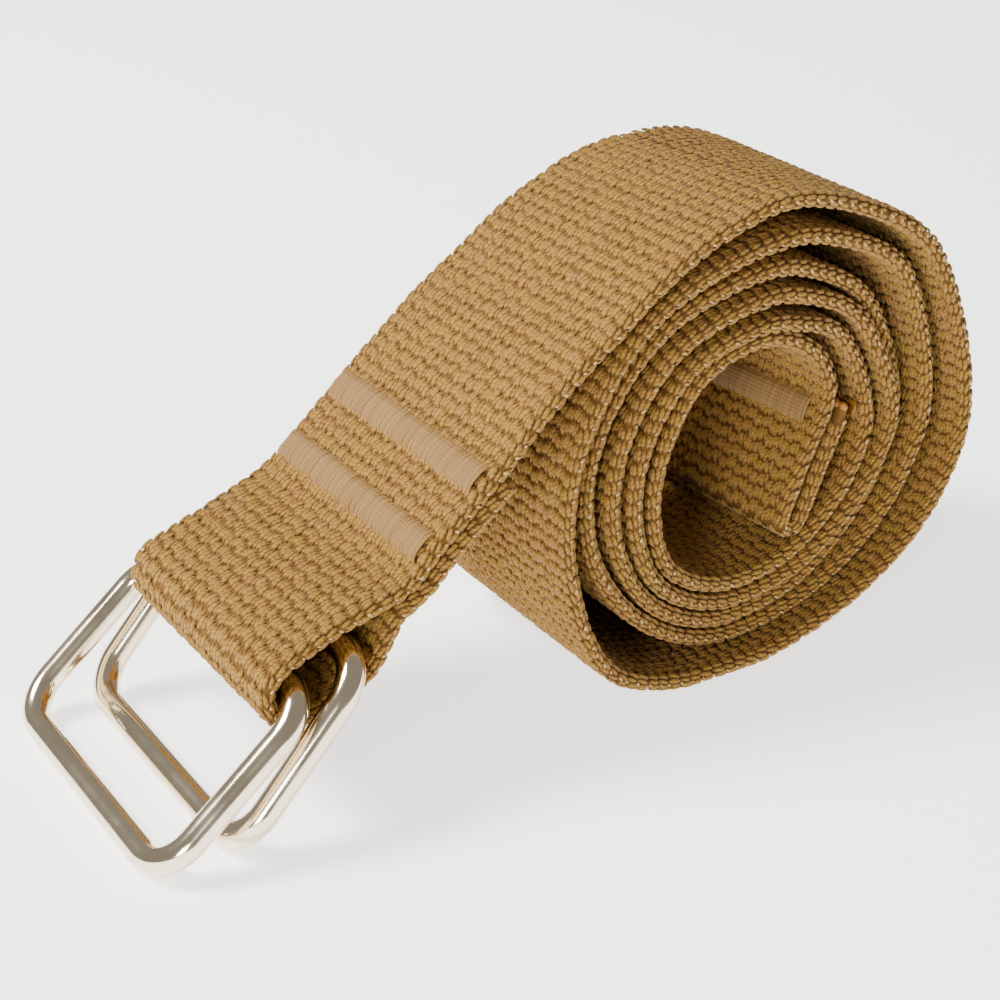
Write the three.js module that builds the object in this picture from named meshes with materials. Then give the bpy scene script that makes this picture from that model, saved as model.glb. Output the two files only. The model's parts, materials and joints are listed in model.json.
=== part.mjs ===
// A cotton webbing belt with two wire rings, rolled up and standing on its outermost turn.
// Units are millimetres, +Z is up. The webbing's width runs along Y and the free end with the
// rings points to -X. The belt is laid out around the hub of its roll, and the finished group is
// moved so that its origin lies on the floor below the middle of the whole belt.
import * as THREE from 'three';

// Driving dimensions

const WEB_WIDTH = 38;            // width of the cotton webbing
const WEB_THICKNESS = 2.1;       // thickness of one layer
const EDGE_BEVEL = 0.5;          // rounding of the two woven edges
const LAYER_GAP = 0.4;           // air left between layers that lie on each other
const FIT_GAP = 0.3;             // air left between separate pieces

const HUB_HEIGHT = 30.8;         // height of the roll's hub above the floor
const ROLL_RADIUS = 34.5;        // reach of the outermost turn, level with the hub
const ROLL_SLACK = 2;            // unit of the loose air between turns
const ROLL_RECESS = 3.5;         // how far the inner turns stand back from the front edge
const LAST_TURN_TOP = 15.95;     // reach of the innermost turn over the hollow

const RING_WIRE = 3.6;           // diameter of the ring wire
const RING_SIDE_ROOM = 1;        // clear room beside the webbing, inside each side bar
const RING_LENGTH = 26;          // from bar to bar, wire centres
const RING_CORNER = 5.5;         // corner radius of the wire's centre line
const UPPER_RING_TILT = 40;      // slope of the upper ring down to the floor, degrees
const LOWER_RING_TILT = 48;      // slope of the lower ring
const UPPER_BAR_AT = 71.0;       // from the hub out to the upper ring's bar inside the loop
const LOWER_BAR_AT = 63.6;       // the same for the lower ring

const TACK_LENGTH = 4.2;         // length of a bar tack along the webbing
const TACK_HEIGHT = 0.7;         // how far the thread stands up
const TACK_FRONT_INSET = 1.8;    // bare webbing left beside a tack, front edge
const TIP_TACK_FRONT_INSET = 2.9; // the same for the folded tip's tack
const TACK_REAR_INSET = 0.8;     // the same at the rear edge of every tack
const INNER_TACK_AT = 27.3;      // along the webbing from the tip of the ring loop
const OUTER_TACK_AT = 37.7;
const LOOP_END_AT = 40.2;        // where the folded-under end stops
const FLAP_LENGTH = 17;          // length of the folded tip at the inner end
const FLAP_SPREAD = 0.4;         // how far the flap's cut end springs away from the tongue
const FOLD_TURN = 151;           // direction from the hub to the tip's fold, degrees
const FOLD_BEND = 1.6;           // bend radius of the fold, at the webbing's middle
const TIP_RECESS = 1.2;          // how far the folded tip stands back, as a share of ROLL_RECESS
const TIP_TACK_FROM_END = 2.4;   // from the flap's cut end to the middle of its tack
const TIP_TWIST = 8;             // how far round the hub the tip's rear edge is turned, degrees
const TIP_TACK_SKEW = 1;         // how far the tip's tack runs off square over the width

// The roll, seen from the front. Each row is one direction from the hub, in degrees clockwise
// from straight up. reach is the outermost turn's outer face as a share of ROLL_RADIUS, and
// slack1 to slack4 are the loose air under turns 1 to 4 in units of ROLL_SLACK. lean is how far
// the outermost turn's rear edge lies nearer to the hub than its front edge, in thicknesses.
const ROLL_ROWS = [
  { turn: 0, reach: 1.052, slack1: 1.55, slack2: 1.0, slack3: 0.7, slack4: 0.7, lean: 1.0 },
  { turn: 20, reach: 1.028, slack1: 1.12, slack2: 1.3, slack3: 0.42, slack4: 0.63, lean: -0.05 },
  { turn: 45, reach: 1.037, slack1: 0.9, slack2: 1.6, slack3: 0.1, slack4: 0.4, lean: -0.2 },
  { turn: 90, reach: 1.004, slack1: 1.1, slack2: 0.3, slack3: 0.05, slack4: 0.7, lean: 0 },
  { turn: 110, reach: 0.98, slack1: 1.2, slack2: 0.3, slack3: 0.05, slack4: 0.4, lean: 0 },
  { turn: 130, reach: 0.924, slack1: 0.7, slack2: 0.3, slack3: 0.05, slack4: 0.2, lean: 0 },
  { turn: 160, reach: 0.87, slack1: 0.05, slack2: 0.05, slack3: 0.05, slack4: 0.05, lean: 0 },
  { turn: 195, reach: 0.935, slack1: 0.65, slack2: 0.05, slack3: 0.05, slack4: 0.05, lean: 0 },
  { turn: 225, reach: 1.055, slack1: 2.6, slack2: 0.05, slack3: 0.05, slack4: 0.05, lean: 0 },
  { turn: 255, reach: 0.99, slack1: 1.25, slack2: 0.75, slack3: 0.5, slack4: 0.45, lean: 0 },
  { turn: 285, reach: 0.954, slack1: 0.8, slack2: 1.1, slack3: 0.7, slack4: 0.7, lean: 0 },
  { turn: 320, reach: 0.917, slack1: 0.82, slack2: 0.9, slack3: 0.75, slack4: 0.35, lean: 0 },
];

// How far each turn stands back, as shares of ROLL_RECESS, at its top, right, bottom and left.
const RECESS_ROWS = [
  { top: 0, right: 0, bottom: 0, left: 0.15 },
  { top: 0.3, right: 0.85, bottom: 1.0, left: 0.85 },
  { top: 0.85, right: 1.7, bottom: 1.0, left: 0.95 },
  { top: 0.9, right: 0.95, bottom: 0.95, left: 1.0 },
  { top: 1.0, right: 1.2, bottom: 1.0, left: 1.2 },
  { top: 1.35, right: 1.7, bottom: 1.8, left: 1.8 },
];

// The strap from the roll down to the ring loop. along is the share of the straight line from
// the top of the roll to the upper ring's bar, rise is the share of its length above it, and
// lean is how far the rear edge lies below the front edge, in thicknesses.
const STRAP_ROWS = [
  { along: 0.096, rise: 0.039, lean: 0.83 },
  { along: 0.169, rise: 0.054, lean: 0.86 },
  { along: 0.25, rise: 0.058, lean: 0.62 },
  { along: 0.337, rise: 0.052, lean: 0.48 },
  { along: 0.42, rise: 0.049, lean: 0.4 },
  { along: 0.51, rise: 0.037, lean: 0.25 },
  { along: 0.57, rise: 0.025, lean: 0 },
  { along: 0.72, rise: 0.0045, lean: 0 },
  { along: 0.79, rise: -0.007, lean: -0.3 },
  { along: 0.85, rise: 0.012, lean: 0.05 },
  { along: 0.91, rise: 0.031, lean: 0.35 },
];
const LOOP_JOIN_AT = 20.5;       // along the webbing from the loop's tip to where the layers meet

// Small helpers

const flat = (x, z) => new THREE.Vector2(x, z);
const half = WEB_THICKNESS / 2;
const layerStep = WEB_THICKNESS + LAYER_GAP;

/** Point at a direction (degrees clockwise from up) and distance from the hub, as (x, z). */
function fromHub(turn, radius) {
  const a = THREE.MathUtils.degToRad(turn);
  return flat(radius * Math.sin(a), HUB_HEIGHT + radius * Math.cos(a));
}

/** Point at a direction (degrees anticlockwise from +X) and distance from a centre. */
function around(centre, degrees, radius) {
  const a = THREE.MathUtils.degToRad(degrees);
  return flat(centre.x + radius * Math.cos(a), centre.y + radius * Math.sin(a));
}

/** Outer reach of a turn (1 is the outermost) in one row of the roll. */
function outerReach(turnNumber, row) {
  let reach = row.reach * ROLL_RADIUS;
  for (let k = 1; k < turnNumber; k += 1) reach -= layerStep + row[`slack${k}`] * ROLL_SLACK;
  return reach;
}

/** How far a turn stands back at a direction, between the four named sides. */
function recessAt(turnNumber, turn) {
  const sides = RECESS_ROWS.flatMap((row) => [row.top, row.right, row.bottom, row.left]);
  const place = (turnNumber - 1) * 4 + turn / 90;
  const index = Math.floor(place);
  const next = Math.min(index + 1, sides.length - 1);
  return ROLL_RECESS * THREE.MathUtils.lerp(sides[index], sides[next], place - index);
}

/** Tangent point on a circle for the line from an outside point, on the chosen side. */
function tangentPoint(from, centre, radius, side) {
  const gap = centre.clone().sub(from);
  const spread = Math.acos(radius / gap.length());
  const back = Math.atan2(-gap.y, -gap.x);
  return flat(
    centre.x + radius * Math.cos(back + side * spread),
    centre.y + radius * Math.sin(back + side * spread),
  );
}

/** Points on an arc between two points of a circle, turning in the given sense. */
function arcPoints(centre, start, end, sense, steps) {
  const radius = start.distanceTo(centre);
  const a0 = Math.atan2(start.y - centre.y, start.x - centre.x);
  let sweep = Math.atan2(end.y - centre.y, end.x - centre.x) - a0;
  if (sense > 0 && sweep < 0) sweep += 2 * Math.PI;
  if (sense < 0 && sweep > 0) sweep -= 2 * Math.PI;
  const points = [];
  for (let i = 0; i <= steps; i += 1) {
    const a = a0 + (sweep * i) / steps;
    points.push(flat(centre.x + radius * Math.cos(a), centre.y + radius * Math.sin(a)));
  }
  return points;
}

// Rings

const wireRadius = RING_WIRE / 2;
const ringHalfWidth = WEB_WIDTH / 2 + RING_SIDE_ROOM + wireRadius;

/** Centres of a ring's floor bar and of its bar inside the webbing loop. */
function ringBars(barAt, tilt) {
  const slope = THREE.MathUtils.degToRad(tilt);
  const floorBar = flat(-barAt - RING_LENGTH * Math.cos(slope), wireRadius);
  return { floorBar, loopBar: around(floorBar, tilt, RING_LENGTH), tilt };
}
const upperRing = ringBars(UPPER_BAR_AT, UPPER_RING_TILT);
const lowerRing = ringBars(LOWER_BAR_AT, LOWER_RING_TILT);

// The bar bends away towards its corners, so the loop around it is wider by that much.
const bentReach = Math.min(RING_CORNER, Math.max(0, WEB_WIDTH / 2 - (ringHalfWidth - RING_CORNER)));
const cornerDrop = RING_CORNER - Math.sqrt(RING_CORNER ** 2 - bentReach ** 2);
const loopRadius = wireRadius + FIT_GAP + cornerDrop + half;

/**
 * Closed solid swept through sections of points, each running anticlockwise about the sweep's
 * direction. The two ends are closed unless the sweep closes on itself.
 */
function sweptSolid(sections, closed) {
  const sides = sections[0].length;
  const corners = sections.flat().flatMap((p) => [p.x, p.y, p.z]);
  const faces = [];
  const count = closed ? sections.length : sections.length - 1;
  for (let i = 0; i < count; i += 1) {
    const here = i * sides;
    const next = ((i + 1) % sections.length) * sides;
    for (let j = 0; j < sides; j += 1) {
      const k = (j + 1) % sides;
      faces.push(here + j, here + k, next + k, here + j, next + k, next + j);
    }
  }
  const last = (sections.length - 1) * sides;
  for (let j = 1; !closed && j < sides - 1; j += 1) {
    faces.push(0, j + 1, j, last, last + j, last + j + 1);
  }
  const solid = new THREE.BufferGeometry();
  solid.setAttribute('position', new THREE.Float32BufferAttribute(corners, 3));
  solid.setIndex(faces);
  return solid;
}

/** Round wire bent into a rectangle with rounded corners. */
function ringSolid(ring) {
  const wireSides = 12;
  const cornerSteps = 5;
  const along = new THREE.Vector3(
    Math.cos(THREE.MathUtils.degToRad(ring.tilt)), 0, Math.sin(THREE.MathUtils.degToRad(ring.tilt)),
  );
  const across = new THREE.Vector3(0, 1, 0);
  const upright = new THREE.Vector3().crossVectors(across, along);
  const start = new THREE.Vector3(ring.floorBar.x, 0, ring.floorBar.y);
  const cornerCentres = [
    { u: RING_LENGTH - RING_CORNER, v: ringHalfWidth - RING_CORNER, from: 0 },
    { u: RING_CORNER, v: ringHalfWidth - RING_CORNER, from: 90 },
    { u: RING_CORNER, v: RING_CORNER - ringHalfWidth, from: 180 },
    { u: RING_LENGTH - RING_CORNER, v: RING_CORNER - ringHalfWidth, from: 270 },
  ];
  const sections = [];
  for (const corner of cornerCentres) {
    for (let i = 0; i <= cornerSteps; i += 1) {
      const a = THREE.MathUtils.degToRad(corner.from + (90 * i) / cornerSteps);
      const out = along.clone().multiplyScalar(Math.cos(a)).addScaledVector(across, Math.sin(a));
      const middle = start.clone()
        .addScaledVector(along, corner.u).addScaledVector(across, corner.v)
        .addScaledVector(out, RING_CORNER);
      const section = [];
      for (let j = 0; j < wireSides; j += 1) {
        const b = (2 * Math.PI * (j + 0.5)) / wireSides;
        section.push(middle.clone()
          .addScaledVector(out, wireRadius * Math.cos(b))
          .addScaledVector(upright, wireRadius * Math.sin(b)));
      }
      sections.push(section);
    }
  }
  return sweptSolid(sections, true);
}

// The webbing's middle line. Each control has its point, as x and z, how far it stands back
// along Y, and rear, the shift of the webbing's rear edge against its front edge.

const still = flat(0, 0);

/** The strap's upper layer, from the loop's tangent point up to the top of the roll. */
function strapControls() {
  const top = fromHub(0, outerReach(1, ROLL_ROWS[0]) - half);
  const chord = upperRing.loopBar.clone().sub(top);
  const above = flat(chord.y, -chord.x);
  const controls = STRAP_ROWS.map((row) => ({
    point: top.clone().addScaledVector(chord, row.along).addScaledVector(above, row.rise),
    rear: above.clone().setLength(-row.lean * WEB_THICKNESS),
    back: 0,
  })).reverse();
  const touchPoint = tangentPoint(controls[0].point, upperRing.loopBar, loopRadius, 1);
  return [{ point: touchPoint, rear: still, back: 0 }, ...controls];
}

/** The turns of the roll, from the top of the outermost one inwards. */
function rollControls() {
  const controls = [];
  for (let k = 1; k <= 5; k += 1) {
    for (const row of ROLL_ROWS) {
      const lean = k === 1 ? row.lean * WEB_THICKNESS : 0;
      const rear = fromHub(row.turn, -lean).sub(fromHub(row.turn, 0));
      const point = fromHub(row.turn, outerReach(k, row) - half);
      controls.push({ point, rear, back: recessAt(k, row.turn) });
    }
  }
  return controls;
}

const strapPoints = strapControls();
const rollPoints = rollControls();
const foldRow = ROLL_ROWS.find((row) => row.turn === 160);
const foldCentre = fromHub(FOLD_TURN, outerReach(5, foldRow) - WEB_THICKNESS - LAYER_GAP
  - FOLD_BEND - half);

/** The innermost stretch: over the hollow, down its right side and folded back outwards. */
function tongueControls() {
  const over = [
    fromHub(0, LAST_TURN_TOP - half),
    fromHub(28, LAST_TURN_TOP - half),
    fromHub(50, LAST_TURN_TOP - 1.4 * half),
    fromHub(70, LAST_TURN_TOP - 2.6 * half),
  ];
  const inner = tangentPoint(over.at(-1), foldCentre, FOLD_BEND, 1);
  const down = inner.clone().sub(over.at(-1)).normalize();
  const outward = flat(-down.y, down.x);
  const outer = foldCentre.clone().addScaledVector(outward, FOLD_BEND);
  const turnBack = arcPoints(foldCentre, inner, outer, 1, 6);
  const flap = [0.5, 1].map((share) => outer.clone()
    .addScaledVector(down, -share * FLAP_LENGTH)
    .addScaledVector(outward, share ** 2 * FLAP_SPREAD));
  const points = [...over, over.at(-1).clone().lerp(inner, 0.5), ...turnBack, ...flap];
  const hub = fromHub(0, 0);
  return points.map((point, i) => {
    const twist = THREE.MathUtils.degToRad(-TIP_TWIST * Math.min(1, i / over.length));
    return {
      point,
      rear: point.clone().rotateAround(hub, twist).sub(point),
      back: ROLL_RECESS * Math.max(TIP_RECESS, 1.35 - 0.03 * i),
    };
  });
}

const STEPS = 4;

/** Samples a smooth line through controls, kept above the floor. */
function smoothLine(controls) {
  const line = new THREE.CatmullRomCurve3(controls.map(raise), false, 'centripetal');
  const count = (controls.length - 1) * STEPS;
  const samples = [];
  for (let i = 0; i <= count; i += 1) {
    const point = line.getPoint(i / count);
    samples.push(point.setZ(Math.max(point.z, half)));
  }
  return { samples, runs: runLengths(samples), controls };
}

/** Lengths along a sampled line, up to each sample. */
function runLengths(samples) {
  const runs = [0];
  for (let i = 1; i < samples.length; i += 1) {
    runs.push(runs[i - 1] + samples[i].distanceTo(samples[i - 1]));
  }
  return runs;
}

/** Shift of the rear edge at a place along the controls, counted in controls. */
function rearAt(controls, place) {
  const index = Math.min(Math.floor(place), controls.length - 2);
  const rear = controls[index].rear.clone().lerp(controls[index + 1].rear, place - index);
  return new THREE.Vector3(rear.x, 0, rear.y);
}

/** Place, outward direction and rear shift on a sampled line at a given run. */
function placeAt(line, run) {
  const { samples, runs, controls } = line;
  let i = 1;
  while (i < runs.length - 1 && runs[i] < run) i += 1;
  const share = (run - runs[i - 1]) / (runs[i] - runs[i - 1]);
  const point = samples[i - 1].clone().lerp(samples[i], share);
  const ahead = samples[i].clone().sub(samples[i - 1]).setY(0).normalize();
  const rear = rearAt(controls, (i - 1 + share) / STEPS);
  return { point, normal: new THREE.Vector3(-ahead.z, 0, ahead.x), rear };
}

const raise = (control) => new THREE.Vector3(control.point.x, control.back, control.point.y);

// The loop: the upper layer's line starts at the loop's tip, where runs are counted from.
const tip = around(upperRing.loopBar, 180, loopRadius);
const onBar = (point) => ({ point, rear: still, back: 0 });
const upperArc = arcPoints(upperRing.loopBar, tip, strapPoints[0].point, -1, 3).map(onBar);
const upperControls = [...upperArc, ...strapPoints.slice(1)];
const upperLine = smoothLine([...upperControls, rollPoints[0]]);

/** Control of the under layer, one layer below the upper one at a run. */
function underControl(run) {
  const { point, normal, rear } = placeAt(upperLine, run);
  point.addScaledVector(normal, -layerStep);
  return { point: flat(point.x, point.z), rear: flat(rear.x, rear.z), back: 0 };
}

/** The folded-under end: along the upper layer, then round both ring bars to the tip. */
function underControls() {
  const controls = [];
  for (let run = LOOP_END_AT; run > LOOP_JOIN_AT; run -= 3.2) controls.push(underControl(run));
  const join = underControl(LOOP_JOIN_AT);
  const bars = upperRing.loopBar.clone().sub(lowerRing.loopBar).normalize();
  const below = flat(-bars.y, bars.x).multiplyScalar(loopRadius);
  const arrive = tangentPoint(join.point, lowerRing.loopBar, loopRadius, -1);
  const leave = lowerRing.loopBar.clone().add(below);
  const underLower = arcPoints(lowerRing.loopBar, arrive, leave, -1, 2);
  const reach = upperRing.loopBar.clone().add(below);
  const underUpper = arcPoints(upperRing.loopBar, reach, tip, -1, 4);
  return [...controls, join, ...[...underLower, ...underUpper].map(onBar)];
}

const underLayer = underControls();
const webbing = smoothLine([
  ...underLayer.slice(0, -1), ...upperControls, ...rollPoints, ...tongueControls(),
]);

/** Frames of the webbing at each sample: the point, the outward direction and the rear shift. */
function frames({ samples, controls }) {
  return samples.map((point, i) => {
    const before = samples[Math.max(0, i - 1)];
    const after = samples[Math.min(samples.length - 1, i + 1)];
    const ahead = after.clone().sub(before).setY(0).normalize();
    const normal = new THREE.Vector3(-ahead.z, 0, ahead.x);
    return { point, normal, rear: rearAt(controls, i / STEPS) };
  });
}

/** Corner at a distance across (from the middle, along Y) and out of the upper face. */
function cornerAt({ point, normal, rear }, across, out) {
  const corner = point.clone().addScaledVector(normal, out);
  corner.addScaledVector(rear, across / WEB_WIDTH + 0.5);
  corner.y += across;
  return corner;
}

/** Section of the webbing, with bevelled woven edges, at one frame. */
function webbingSection(frame) {
  const side = WEB_WIDTH / 2;
  const outline = [
    [-side, -half + EDGE_BEVEL], [-side + EDGE_BEVEL, -half],
    [side - EDGE_BEVEL, -half], [side, -half + EDGE_BEVEL],
    [side, half - EDGE_BEVEL], [side - EDGE_BEVEL, half],
    [-side + EDGE_BEVEL, half], [-side, half - EDGE_BEVEL],
  ];
  return outline.map(([across, out]) => cornerAt(frame, across, out));
}

/** A bar tack lying on one face of the webbing, centred at a run and run off square by skew. */
function tackSolid({ centreRun, face, frontInset, skew }) {
  const low = half + FIT_GAP;
  const high = half + FIT_GAP + TACK_HEIGHT;
  const front = -WEB_WIDTH / 2 + frontInset;
  const rear = WEB_WIDTH / 2 - TACK_REAR_INSET;
  const sections = [];
  for (const share of [-0.5, -0.17, 0.17, 0.5]) {
    const outline = face > 0
      ? [[front, low], [rear, low], [rear, high], [front, high]]
      : [[rear, -low], [front, -low], [front, -high], [rear, -high]];
    sections.push(outline.map(([across, out]) => {
      const run = centreRun + share * TACK_LENGTH + (skew * across) / WEB_WIDTH;
      return cornerAt(placeAt(webbing, run), across, out);
    }));
  }
  return sweptSolid(sections, false);
}

// Pieces

const cotton = new THREE.MeshStandardMaterial({ color: '#b9955c', roughness: 0.95, metalness: 0 });
const thread = new THREE.MeshStandardMaterial({ color: '#c8a47a', roughness: 0.7, metalness: 0 });
const brass = new THREE.MeshStandardMaterial({ color: '#d8c3a0', roughness: 0.15, metalness: 1 });

function piece(name, geometry, material) {
  geometry.computeVertexNormals();
  const mesh = new THREE.Mesh(geometry, material);
  mesh.name = name;
  return mesh;
}

const tipRun = webbing.runs[STEPS * (underLayer.length - 1)];
const foldRun = webbing.runs.at(-1) - FLAP_LENGTH - Math.PI * FOLD_BEND;
const tacks = {
  outer: { centreRun: tipRun + OUTER_TACK_AT, face: 1, frontInset: TACK_FRONT_INSET, skew: 0 },
  inner: { centreRun: tipRun + INNER_TACK_AT, face: 1, frontInset: TACK_FRONT_INSET, skew: 0 },
  tip: {
    centreRun: foldRun - FLAP_LENGTH + TIP_TACK_FROM_END,
    face: -1,
    frontInset: TIP_TACK_FRONT_INSET,
    skew: TIP_TACK_SKEW,
  },
};

const belt = new THREE.Group();
belt.add(piece('strap', sweptSolid(frames(webbing).map(webbingSection), false), cotton));
belt.add(piece('outer_tack', tackSolid(tacks.outer), thread));
belt.add(piece('inner_tack', tackSolid(tacks.inner), thread));
belt.add(piece('tip_tack', tackSolid(tacks.tip), thread));
belt.add(piece('upper_ring', ringSolid(upperRing), brass));
belt.add(piece('lower_ring', ringSolid(lowerRing), brass));

const box = new THREE.Box3().setFromObject(belt);
const middle = box.getCenter(new THREE.Vector3());
belt.position.set(-middle.x, -middle.y, -box.min.z);

export default belt;
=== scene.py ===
"""Cotton webbing trouser belt with a pair of wire rings, rolled up and standing on its roll.

The webbing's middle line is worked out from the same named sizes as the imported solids. The woven
floats and the satin stitches are made with Geometry Nodes along it, and the rings beside it.
"""

import json
import math

import bpy
import numpy as np
from mathutils import Matrix, Vector

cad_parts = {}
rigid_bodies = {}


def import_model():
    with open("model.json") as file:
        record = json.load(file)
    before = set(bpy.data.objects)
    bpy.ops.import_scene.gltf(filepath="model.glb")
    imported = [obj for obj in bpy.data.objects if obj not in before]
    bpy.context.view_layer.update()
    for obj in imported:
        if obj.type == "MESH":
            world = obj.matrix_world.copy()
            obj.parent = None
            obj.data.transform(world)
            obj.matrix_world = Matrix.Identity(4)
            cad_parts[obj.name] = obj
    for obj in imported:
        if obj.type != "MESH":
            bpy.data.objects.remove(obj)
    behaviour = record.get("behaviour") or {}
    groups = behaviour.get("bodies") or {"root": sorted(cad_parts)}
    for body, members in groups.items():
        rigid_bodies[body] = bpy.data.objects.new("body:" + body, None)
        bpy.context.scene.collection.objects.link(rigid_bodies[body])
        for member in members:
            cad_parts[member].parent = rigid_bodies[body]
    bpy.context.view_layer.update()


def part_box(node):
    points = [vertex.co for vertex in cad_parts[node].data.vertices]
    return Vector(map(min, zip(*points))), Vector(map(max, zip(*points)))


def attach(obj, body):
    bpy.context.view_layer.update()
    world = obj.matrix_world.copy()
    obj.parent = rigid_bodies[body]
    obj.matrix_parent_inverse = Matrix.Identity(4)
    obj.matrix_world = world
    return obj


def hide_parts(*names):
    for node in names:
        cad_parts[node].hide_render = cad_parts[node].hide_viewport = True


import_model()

bl_info = {
    "name": "Rolled cotton webbing belt",
    "version": (1, 0, 0),
    "blender": (4, 5, 0),
    "location": "3D View > Sidebar > Belt",
    "description": "Builds a rolled cotton webbing belt with two wire rings, and its studio",
    "category": "Add Mesh",
}

MM = 0.001

CORE_INSET = 0.5 * MM  # how much narrower the cloth core and its floats are than the webbing
FIRST_ROW = 1.2 * MM  # from the folded-under end to the first row of floats
THREAD_RADIUS = 0.19 * MM
FOOT_SINK = 0.25 * MM  # how deep a stitch's foot lies in the webbing
TURNS = 5
GUIDE_STEPS = 4  # points for each stretch of the line that guides the under layer
UNDER_STEP = 3.2 * MM  # from one control of the under layer to the next

FLOOR_REACH = 12.0  # from the middle of the floor to its edges, in metres
FLOOR_CORNERS = ((-1, -1), (1, -1), (1, 1), (-1, 1))
FLOOR_GLOW = 1.9
WORLD_GLOW = 0.36
LIT_POINT = (-0.01, 0, 0.03)
# Name, place, size and power of each soft light
LIGHTS = (
    ("key_softbox", (-0.5, 0.3, 0.75), 0.35, 19.0),
    ("side_fill", (-0.75, -0.55, 0.25), 0.3, 6.0),
)

# The roll, seen from the front. turn is the direction from the hub in degrees clockwise from
# straight up, reach is the outermost turn's outer face as a share of the roll radius, slack1 to
# slack4 are the loose air under turns 1 to 4 in units of the roll's slack, and lean is how far
# the outermost turn's rear edge lies nearer to the hub than its front edge, in thicknesses.
ROLL_COLUMNS = ("turn", "reach", "slack1", "slack2", "slack3", "slack4", "lean")
ROLL_ROWS = (
    (0, 1.052, 1.55, 1.0, 0.7, 0.7, 1.0),
    (20, 1.028, 1.12, 1.3, 0.42, 0.63, -0.05),
    (45, 1.037, 0.9, 1.6, 0.1, 0.4, -0.2),
    (90, 1.004, 1.1, 0.3, 0.05, 0.7, 0.0),
    (110, 0.98, 1.2, 0.3, 0.05, 0.4, 0.0),
    (130, 0.924, 0.7, 0.3, 0.05, 0.2, 0.0),
    (160, 0.87, 0.05, 0.05, 0.05, 0.05, 0.0),
    (195, 0.935, 0.65, 0.05, 0.05, 0.05, 0.0),
    (225, 1.055, 2.6, 0.05, 0.05, 0.05, 0.0),
    (255, 0.99, 1.25, 0.75, 0.5, 0.45, 0.0),
    (285, 0.954, 0.8, 1.1, 0.7, 0.7, 0.0),
    (320, 0.917, 0.82, 0.9, 0.75, 0.35, 0.0),
)

# How far each turn stands back, as shares of the recess, at its top, right, bottom and left.
RECESS_ROWS = (
    (0, 0, 0, 0.15),
    (0.3, 0.85, 1.0, 0.85),
    (0.85, 1.7, 1.0, 0.95),
    (0.9, 0.95, 0.95, 1.0),
    (1.0, 1.2, 1.0, 1.2),
    (1.35, 1.7, 1.8, 1.8),
)

# The strap: share along the straight line from the roll's top to the upper ring's bar, the rise
# over that line as a share of its length, and how far the rear edge lies lower, in thicknesses.
STRAP_ROWS = (
    (0.096, 0.039, 0.83),
    (0.169, 0.054, 0.86),
    (0.25, 0.058, 0.62),
    (0.337, 0.052, 0.48),
    (0.42, 0.049, 0.4),
    (0.51, 0.037, 0.25),
    (0.57, 0.025, 0.0),
    (0.72, 0.0045, 0.0),
    (0.79, -0.007, -0.3),
    (0.85, 0.012, 0.05),
    (0.91, 0.031, 0.35),
)

# Over the hollow: the turn, and how far under the last turn's top the middle line runs, in half
# thicknesses.
HOLLOW_ROWS = ((0, 1), (28, 1), (50, 1.4), (70, 2.6))

# How far back the tip's first control stands, and how much less each later one, as shares of the
# recess.
TIP_BACK = (1.35, 0.03)


def linear(hex_colour):
    """Linear RGBA of an sRGB hex colour."""
    parts = [int(hex_colour[i : i + 2], 16) / 255 for i in (1, 3, 5)]
    return tuple(
        c / 12.92 if c <= 0.04045 else ((c + 0.055) / 1.055) ** 2.4 for c in parts
    ) + (1.0,)


# Sizes and colours


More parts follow.
